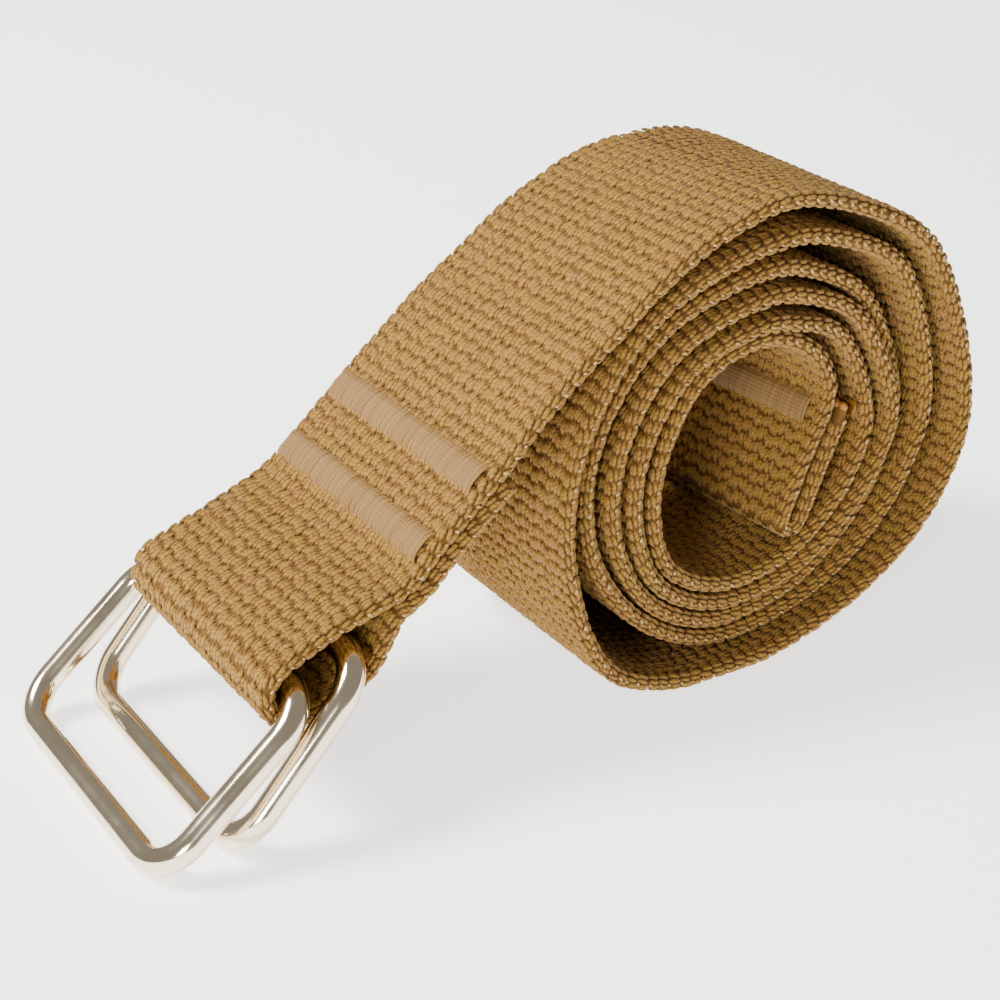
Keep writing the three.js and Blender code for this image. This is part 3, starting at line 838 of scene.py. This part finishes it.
def woven_floats_tree():
    """Warp floats of a few strands each, set row by row round the webbing's section."""
    maker = Maker("Woven floats", {
        "First Run": 0.0,
        "Rows": 10,
        "Columns": 46,
        "Strands": 1,
        "Strand Share": 0.155,
        "Stagger": 0.0,
        "Pad Rise": 0.0,
        "Pick Pitch": 1.86 * MM,
        "Pair Share": 0.46,
        "Shift": 0.0,
        "Phase": 0.2,
        "Width": 38 * MM,
        "Core Thickness": 1.4 * MM,
        "Float Length": 1.9 * MM,
        "Float Width": 1.5 * MM,
        "Float Rise": 0.42 * MM,
        "Flatness": 0.55,
        "Slant": 0.0,
        "Scatter": 0.06,
        "Seed": 7,
        "Material": None,
    })
    given, calc = maker.given, maker.calc
    strands, columns = given["Strands"], given["Columns"]
    floats = calc("MULTIPLY", given["Rows"], columns)
    points = maker.first("GeometryNodePoints", {"Count": calc("MULTIPLY", floats, strands)})
    index = maker.first("GeometryNodeInputIndex")
    number = calc("FLOOR", calc("DIVIDE", index, strands))
    last = calc("SUBTRACT", strands, 1.0)
    strand = calc("MULTIPLY_ADD", last, -0.5, calc("MODULO", index, strands))
    row = calc("FLOOR", calc("DIVIDE", number, columns))
    column = calc("MODULO", number, columns)
    odd = calc("MODULO", column, 2.0)
    pair = calc("MULTIPLY", calc("SUBTRACT", column, odd), 0.5)
    aside = calc("MULTIPLY_ADD", calc("SUBTRACT", odd, 0.5), given["Pair Share"], pair)
    aside = calc("ADD", aside, given["Shift"])
    aside = calc("MULTIPLY_ADD", strand, given["Strand Share"], aside)
    leaning = calc("MULTIPLY_ADD", odd, -2.0, 1.0)
    loose = maker.parts(maker.scaled(maker.loose(1), given["Scatter"]))

    # Place along the belt
    along = calc("MULTIPLY_ADD", odd, given["Phase"], row)
    stagger = calc("MULTIPLY", leaning, given["Stagger"])
    along = calc("ADD", calc("MULTIPLY_ADD", strand, stagger, along), loose["X"])
    along = calc("MULTIPLY_ADD", along, given["Pick Pitch"], given["First Run"])
    path, up = maker.sample_belt(along)

    # Place round the section
    section = maker.first("GeometryNodeCurvePrimitiveQuadrilateral", {
        "Width": given["Width"], "Height": given["Core Thickness"],
    })
    round_by = calc("MULTIPLY", given["Core Thickness"], 0.499)
    section = maker.first(
        "GeometryNodeFilletCurve", {"Curve": section, "Radius": round_by, "Count": 6}, mode="POLY"
    )
    total = maker.first("GeometryNodeCurveLength", {0: section})
    share = calc("DIVIDE", aside, calc("MULTIPLY", columns, 0.5))
    share = calc("FLOORED_MODULO", share, 1.0)
    spot = maker.add(
        "GeometryNodeSampleCurve",
        {"Curves": section, "Length": calc("MULTIPLY", share, total)}, mode="LENGTH",
    )
    at, facing = maker.parts(spot["Position"]), maker.parts(spot["Tangent"])

    # From the section to the roll: across is +Y, up is out of the upper face
    share = calc("DIVIDE", at["X"], given["Width"])
    place = maker.on_belt(path, up, at["Y"], share, at["X"])
    face = maker.scaled(up, calc("MULTIPLY", facing["X"], -1.0))
    face = maker.joined(face, maker.vector(Y=facing["Y"]))
    # The middle strand of a float stands a little higher than its neighbours
    middle = calc("SUBTRACT", 1.0, calc("ABSOLUTE", strand))
    place = maker.joined(place, maker.scaled(face, calc("MULTIPLY", middle, given["Pad Rise"])))
    swing = calc("MULTIPLY_ADD", leaning, given["Slant"], loose["Y"])

    # One strand: the upper half of a long pillow, its own place kept for the material
    ball = maker.first("GeometryNodeMeshUVSphere", {"Segments": 6, "Rings": 4, "Radius": 1.0})
    here = maker.first("GeometryNodeInputPosition")
    x, y, z = maker.parts(here)
    under = maker.first("FunctionNodeCompare", {0: z, 1: -0.1}, operation="LESS_THAN")
    dome = maker.first(
        "GeometryNodeDeleteGeometry", {"Geometry": ball, "Selection": under}, domain="POINT"
    )
    dome = maker.keep_place(dome, here)
    height = calc("POWER", calc("MAXIMUM", z, 0.0), given["Flatness"])
    dome = maker.first("GeometryNodeSetPosition", {
        "Geometry": dome, "Position": maker.vector(X=x, Y=y, Z=height),
    })
    half_long = calc("MULTIPLY", given["Float Length"], 0.5)
    half_wide = calc("MULTIPLY", given["Float Width"], 0.5)
    size = maker.vector(X=half_long, Y=half_wide, Z=given["Float Rise"])
    dome = maker.first("GeometryNodeTransform", {"Geometry": dome, "Scale": size})

    grown = calc("MULTIPLY_ADD", loose["Z"], 1.4, 1.0)
    turn = face, path["Tangent"], swing
    return maker.lay(points, place, dome, turn, grown, {"ID": number, "Seed": 31})


def satin_stitches_tree():
    """Close bowed stitches across a bar, each lying along the webbing."""
    maker = Maker("Satin stitches", {
        "Run": 0.0,
        "Face": 1.0,
        "Width": 38 * MM,
        "Skew": 0.0,
        "First Across": -17 * MM,
        "Stitches": 100,
        "Thread Pitch": 0.3 * MM,
        "Thread Radius": 0.2 * MM,
        "Stitch Length": 4.2 * MM,
        "Foot": 0.9 * MM,
        "Bow": 0.75 * MM,
        "Seed": 3,
        "Material": None,
    })
    given, calc = maker.given, maker.calc
    points = maker.first("GeometryNodePoints", {"Count": given["Stitches"]})
    index = maker.first("GeometryNodeInputIndex")
    across = calc("MULTIPLY_ADD", index, given["Thread Pitch"], given["First Across"])
    share = calc("DIVIDE", across, given["Width"])
    path, up = maker.sample_belt(calc("MULTIPLY_ADD", share, given["Skew"], given["Run"]))
    foot = calc("MULTIPLY", given["Foot"], given["Face"])
    place = maker.on_belt(path, up, foot, share, across)
    wander = maker.parts(maker.loose(0.05))

    # One stitch: a thread that rises from its foot, lies nearly flat and dips in again
    stitch = maker.first("GeometryNodeCurvePrimitiveLine", {"Start": (-1, 0, 0), "End": (1, 0, 0)})
    stitch = maker.first("GeometryNodeResampleCurve", {"Curve": stitch, "Count": 11})
    here = maker.first("GeometryNodeInputPosition")
    x = maker.parts(here)["X"]
    rise = calc("SUBTRACT", 1.0, calc("POWER", x, 4.0))
    rise = calc("MULTIPLY", rise, given["Bow"])
    long = calc("MULTIPLY", x, calc("MULTIPLY", given["Stitch Length"], 0.5))
    stitch = maker.first("GeometryNodeSetPosition", {
        "Geometry": maker.keep_place(stitch, here), "Position": maker.vector(X=long, Z=rise),
    })
    profile = maker.first("GeometryNodeCurvePrimitiveCircle", {
        "Resolution": 6, "Radius": given["Thread Radius"],
    })
    stitch = maker.first("GeometryNodeCurveToMesh", {
        "Curve": stitch, "Profile Curve": profile, "Fill Caps": True,
    })
    turn = maker.scaled(up, given["Face"]), path["Tangent"], wander["X"]
    grown = calc("ADD", wander["Y"], 1.0)
    return maker.lay(points, place, stitch, turn, grown, {"Seed": 12})


def wire_ring_tree():
    """A round wire bent into a rectangle with rounded corners."""
    maker = Maker("Wire ring", {
        "Length": 26 * MM,
        "Width": 43.6 * MM,
        "Corner": 5.5 * MM,
        "Wire Radius": 1.8 * MM,
        "Centre": (0, 0, 0),
        "Tilt": 0.0,
        "Material": None,
    })
    given = maker.given
    outline = maker.first("GeometryNodeCurvePrimitiveQuadrilateral", {
        "Width": given["Length"], "Height": given["Width"],
    })
    outline = maker.first(
        "GeometryNodeFilletCurve", {"Curve": outline, "Radius": given["Corner"], "Count": 14},
        mode="POLY",
    )
    profile = maker.first("GeometryNodeCurvePrimitiveCircle", {
        "Resolution": 28, "Radius": given["Wire Radius"],
    })
    wire = maker.first("GeometryNodeCurveToMesh", {"Curve": outline, "Profile Curve": profile})
    wire = maker.first("GeometryNodeTransform", {
        "Geometry": wire, "Translation": given["Centre"],
        "Rotation": maker.vector(Y=maker.calc("MULTIPLY", given["Tilt"], -1.0)),
    })
    return maker.finish(maker.first("GeometryNodeSetShadeSmooth", {"Geometry": wire}))


def build_with(tree, name, base, values):
    """Runs a tree on a copy of a base mesh and returns the result as a plain mesh object."""
    carrier = bpy.data.objects.new(name + "_maker", base)
    bpy.context.scene.collection.objects.link(carrier)
    modifier = carrier.modifiers.new("Nodes", "NODES")
    modifier.node_group = tree
    for item in tree.interface.items_tree:
        if item.in_out == "INPUT" and item.name in values:
            modifier[item.identifier] = values[item.name]
    bpy.context.view_layer.update()
    graph = bpy.context.evaluated_depsgraph_get()
    mesh = bpy.data.meshes.new_from_object(carrier.evaluated_get(graph))
    bpy.data.objects.remove(carrier)
    if not mesh.polygons:
        raise RuntimeError(f"{name}: the tree {tree.name} made no faces")
    # Yarns are pressed flat where the belt rests
    corners = np.empty(3 * len(mesh.vertices), np.float32)
    mesh.vertices.foreach_get("co", corners)
    corners[2::3] = np.maximum(corners[2::3], 0)
    mesh.vertices.foreach_set("co", corners)
    mesh.name = name
    piece = bpy.data.objects.new(name, mesh)
    bpy.context.scene.collection.objects.link(piece)
    return piece


def line_mesh(line):
    """The middle line as a mesh of edges, with the rear edge's shift at each point."""
    mesh = bpy.data.meshes.new("belt_line")
    count = len(line.points)
    mesh.from_pydata([tuple(p) for p in line.points], [(i, i + 1) for i in range(count - 1)], [])
    rear = mesh.attributes.new("rear", "FLOAT_VECTOR", "POINT")
    rear.data.foreach_set("vector", line.rear.astype(np.float32).ravel())
    return mesh


def stadium(width, thickness, steps=5):
    """Outline of the webbing's core: flat faces and round woven edges, as across and up."""
    radius = thickness / 2
    flat = width / 2 - radius
    outline = []
    for side, start in ((1, -90), (-1, 90)):
        for k in range(steps + 1):
            a = math.radians(start + 180 * k / steps)
            outline.append((side * flat + radius * math.cos(a), radius * math.sin(a)))
        inner = np.linspace(side * flat, -side * flat, 8)[1:-1]
        outline += [(float(x), side * radius) for x in inner]
    return outline


# Operators


class BELT_OT_webbing(bpy.types.Operator):
    """The cloth core of the webbing, from the folded-under end to the folded tip"""

    bl_idname = "belt.webbing"
    bl_label = "Webbing Core"

    def execute(self, context):
        line = BeltLine(context.scene)
        outline = stadium(line.web.width - CORE_INSET, line.web.core_thickness)
        sides = len(outline)
        corners = []
        for point, out, rear in zip(line.points, line.out, line.rear):
            for across, up in outline:
                place = point + out * up + rear * (across / line.web.width + 0.5)
                corners.append((place[0], place[1] + across, place[2]))
        faces = []
        for i in range(len(line.points) - 1):
            for j in range(sides):
                k = (j + 1) % sides
                a, b = i * sides, (i + 1) * sides
                faces.append((a + j, a + k, b + k, b + j))
        last = (len(line.points) - 1) * sides
        faces.append(tuple(range(sides))[::-1])
        faces.append(tuple(last + j for j in range(sides)))
        mesh = bpy.data.meshes.new("webbing_core")
        mesh.from_pydata(corners, [], faces)
        mesh.shade_smooth()
        mesh.materials.append(shade_dark_cotton_core())
        piece = bpy.data.objects.new("webbing_core", mesh)
        context.scene.collection.objects.link(piece)
        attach(piece, "strap")
        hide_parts("strap")
        return {"FINISHED"}


class BELT_OT_floats(bpy.types.Operator):
    """Raised warp floats all round the webbing, and the pale weft turns on its edges"""

    bl_idname = "belt.floats"
    bl_label = "Woven Floats"

    def execute(self, context):
        line = BeltLine(context.scene)
        web, tree, base = line.web, woven_floats_tree(), line_mesh(line)
        yarn = cotton_yarn(web)
        rows = int((line.end_run - FIRST_ROW) / web.pick_pitch)
        perimeter = 2 * web.width - 2 * web.core_thickness + math.pi * web.core_thickness
        pair_pitch = perimeter / web.rib_pairs
        pieces = []
        for k in range(web.stretches):
            first, after = rows * k // web.stretches, rows * (k + 1) // web.stretches
            pieces.append(build_with(tree, f"floats_{k + 1}", base, {
                "First Run": FIRST_ROW + first * web.pick_pitch,
                "Rows": after - first,
                "Columns": 2 * web.rib_pairs,
                "Strands": 3,
                "Strand Share": 0.155,
                "Stagger": 0.07,
                "Pad Rise": 0.14 * MM,
                "Pick Pitch": web.pick_pitch,
                "Pair Share": 0.49,
                "Shift": 0.5,
                "Phase": 0.2,
                "Width": web.width - CORE_INSET,
                "Core Thickness": web.core_thickness,
                "Float Length": web.pick_pitch * 1.12,
                "Float Width": pair_pitch * 0.2,
                "Float Rise": web.float_rise,
                "Flatness": 0.8,
                "Slant": 0.16,
                "Scatter": 0.1,
                "Seed": 7 + k,
                "Material": yarn,
            }))
        pieces.append(build_with(tree, "edge_specks", base, {
            "First Run": 1.6 * MM,
            "Rows": rows,
            "Columns": 2,
            "Pick Pitch": web.pick_pitch,
            "Pair Share": 0.5,
            "Shift": 0.25,
            "Phase": 0.5,
            "Width": web.width + 0.35 * MM,
            "Core Thickness": web.core_thickness,
            "Float Length": 0.65 * MM,
            "Float Width": 0.3 * MM,
            "Float Rise": 0.22 * MM,
            "Slant": 0.6,
            "Scatter": 0.22,
            "Seed": 19,
            "Material": weft_turn(web),
        }))
        pieces.append(build_with(tree, "singed_end", base, {
            "First Run": line.end_run - 0.35 * MM,
            "Rows": 1,
            "Columns": 2 * web.rib_pairs,
            "Pair Share": 0.5,
            "Width": web.width - 0.2 * MM,
            "Core Thickness": web.core_thickness,
            "Float Length": 1.5 * MM,
            "Float Width": pair_pitch * 0.62,
            "Float Rise": web.float_rise * 1.25,
            "Scatter": 0.3,
            "Seed": 5,
            "Material": singed_cotton(),
        }))
        for piece in pieces:
            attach(piece, "strap")
        return {"FINISHED"}


class BELT_OT_tacks(bpy.types.Operator):
    """Satin-stitched bar tacks that hold the loop and the folded tip"""

    bl_idname = "belt.tacks"
    bl_label = "Bar Tacks"

    def execute(self, context):
        line, tack = BeltLine(context.scene), context.scene.belt_tack
        tree, base, thread = satin_stitches_tree(), line_mesh(line), sewing_thread(tack)
        width = line.web.width
        flap_tack = line.fold_run - line.web.flap_length + tack.from_end
        for node, run, face, inset, skew in (
            ("outer_tack", line.tip_run + tack.outer_at, 1.0, tack.front_inset, 0.0),
            ("inner_tack", line.tip_run + tack.inner_at, 1.0, tack.front_inset, 0.0),
            ("tip_tack", flap_tack, -1.0, tack.tip_front_inset, tack.tip_skew),
        ):
            piece = build_with(tree, node + "_stitches", base, {
                "Run": run,
                "Face": face,
                "Width": width,
                "Skew": skew,
                "First Across": inset - width / 2,
                "Stitches": int((width - inset - tack.rear_inset) / tack.thread_pitch),
                "Thread Pitch": tack.thread_pitch,
                "Thread Radius": THREAD_RADIUS,
                "Stitch Length": tack.length,
                "Foot": line.half - FOOT_SINK,
                "Bow": FOOT_SINK + line.web.fit_gap + 0.2 * tack.height,
                "Seed": 3,
                "Material": thread,
            })
            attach(piece, "strap")
            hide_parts(node)
        return {"FINISHED"}


class BELT_OT_rings(bpy.types.Operator):
    """The two rounded rectangular wire rings"""

    bl_idname = "belt.rings"
    bl_label = "Wire Rings"

    def execute(self, context):
        ring = context.scene.belt_ring
        tree, metal, shift = wire_ring_tree(), plated_steel(ring), hub_shift(ring)
        start = bpy.data.meshes.new("ring_start")
        start.from_pydata([(0, 0, 0)], [], [])
        width = context.scene.belt_webbing.width + 2 * ring.side_room + ring.wire
        for node, bar_at, tilt in (
            ("upper_ring", ring.upper_bar_at, ring.upper_tilt),
            ("lower_ring", ring.lower_bar_at, ring.lower_tilt),
        ):
            floor_bar, loop_bar = ring_bars(bar_at, tilt, ring)
            middle = (floor_bar + loop_bar) / 2
            piece = build_with(tree, node + "_wire", start, {
                "Length": ring.length,
                "Width": width,
                "Corner": ring.corner,
                "Wire Radius": ring.wire / 2,
                "Centre": (middle[0] + shift.x, shift.y, middle[1]),
                "Tilt": tilt,
                "Material": metal,
            })
            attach(piece, node)
            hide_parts(node)
        return {"FINISHED"}


class BELT_OT_studio(bpy.types.Operator):
    """Plain pale floor, soft studio light and the camera"""

    bl_idname = "belt.studio"
    bl_label = "Studio"

    def execute(self, context):
        scene, studio = context.scene, context.scene.belt_studio
        floor_mesh = bpy.data.meshes.new("floor")
        corners = [(x * FLOOR_REACH, y * FLOOR_REACH, 0) for x, y in FLOOR_CORNERS]
        floor_mesh.from_pydata(corners, [], [(0, 1, 2, 3)])
        floor_mesh.materials.append(pale_paper(studio))
        floor = bpy.data.objects.new("floor", floor_mesh)
        scene.collection.objects.link(floor)

        for name, place, size, power in LIGHTS:
            lamp = bpy.data.lights.new(name, "AREA")
            lamp.size = size
            lamp.energy = power
            light = bpy.data.objects.new(name, lamp)
            light.location = place
            light.rotation_mode = "QUATERNION"
            aim = Vector(LIT_POINT) - Vector(place)
            light.rotation_quaternion = aim.to_track_quat("-Z", "Y")
            scene.collection.objects.link(light)

        world = bpy.data.worlds.new("studio")
        world.use_nodes = True
        nodes = Nodes(world.node_tree)
        nodes.tree.nodes.clear()
        sky = {"Color": linear("#F4F1EA"), "Strength": WORLD_GLOW}
        nodes.add("ShaderNodeOutputWorld", {"Surface": nodes.first("ShaderNodeBackground", sky)})
        scene.world = world

        lens = bpy.data.cameras.new("photo_camera")
        lens.lens = studio.lens
        lens.sensor_width = 36
        lens.clip_start = 0.01
        camera = bpy.data.objects.new("photo_camera", lens)
        yaw, pitch = studio.yaw, studio.pitch
        ahead = Vector((
            math.sin(yaw) * math.cos(pitch), math.cos(yaw) * math.cos(pitch), -math.sin(pitch)
        ))
        right = Vector((math.cos(yaw), -math.sin(yaw), 0))
        up = right.cross(ahead)
        turn = Matrix((right, up, -ahead)).transposed()
        seat = Vector(studio.seat) + hub_shift(scene.belt_ring)
        camera.matrix_world = Matrix.Translation(seat) @ turn.to_4x4()
        scene.collection.objects.link(camera)
        scene.camera = camera
        return {"FINISHED"}


class BELT_PT_panel(bpy.types.Panel):
    """Lists the belt's makers in the sidebar"""

    bl_label = "Belt"
    bl_idname = "BELT_PT_panel"
    bl_space_type = "VIEW_3D"
    bl_region_type = "UI"
    bl_category = "Belt"

    def draw(self, context):
        for maker in MAKERS:
            self.layout.operator(maker.bl_idname)


SETTINGS = {
    "belt_webbing": WebbingSettings,
    "belt_roll": RollSettings,
    "belt_ring": RingSettings,
    "belt_tack": TackSettings,
    "belt_studio": StudioSettings,
}
MAKERS = (
    BELT_OT_webbing,
    BELT_OT_floats,
    BELT_OT_tacks,
    BELT_OT_rings,
    BELT_OT_studio,
)


def register():
    for cls in (*SETTINGS.values(), *MAKERS, BELT_PT_panel):
        bpy.utils.register_class(cls)
    for name, group in SETTINGS.items():
        setattr(bpy.types.Scene, name, bpy.props.PointerProperty(type=group))


def unregister():
    for name in SETTINGS:
        delattr(bpy.types.Scene, name)
    for cls in reversed((*SETTINGS.values(), *MAKERS, BELT_PT_panel)):
        bpy.utils.unregister_class(cls)


def declare_cloth(scene):
    """Gathers the belt's middle line and the pieces sewn or woven on the webbing, and does nothing
    more with them.
    """
    line = BeltLine(scene)
    sewn = [o for o in bpy.data.objects if o.name.startswith("floats_")]
    sewn += [o for o in bpy.data.objects if o.name.endswith(("_specks", "_end", "_stitches"))]


def main():
    register()
    bpy.ops.belt.studio()
    bpy.ops.belt.webbing()
    bpy.ops.belt.floats()
    bpy.ops.belt.tacks()
    bpy.ops.belt.rings()
    declare_cloth(bpy.context.scene)


if __name__ == "__main__":
    main()
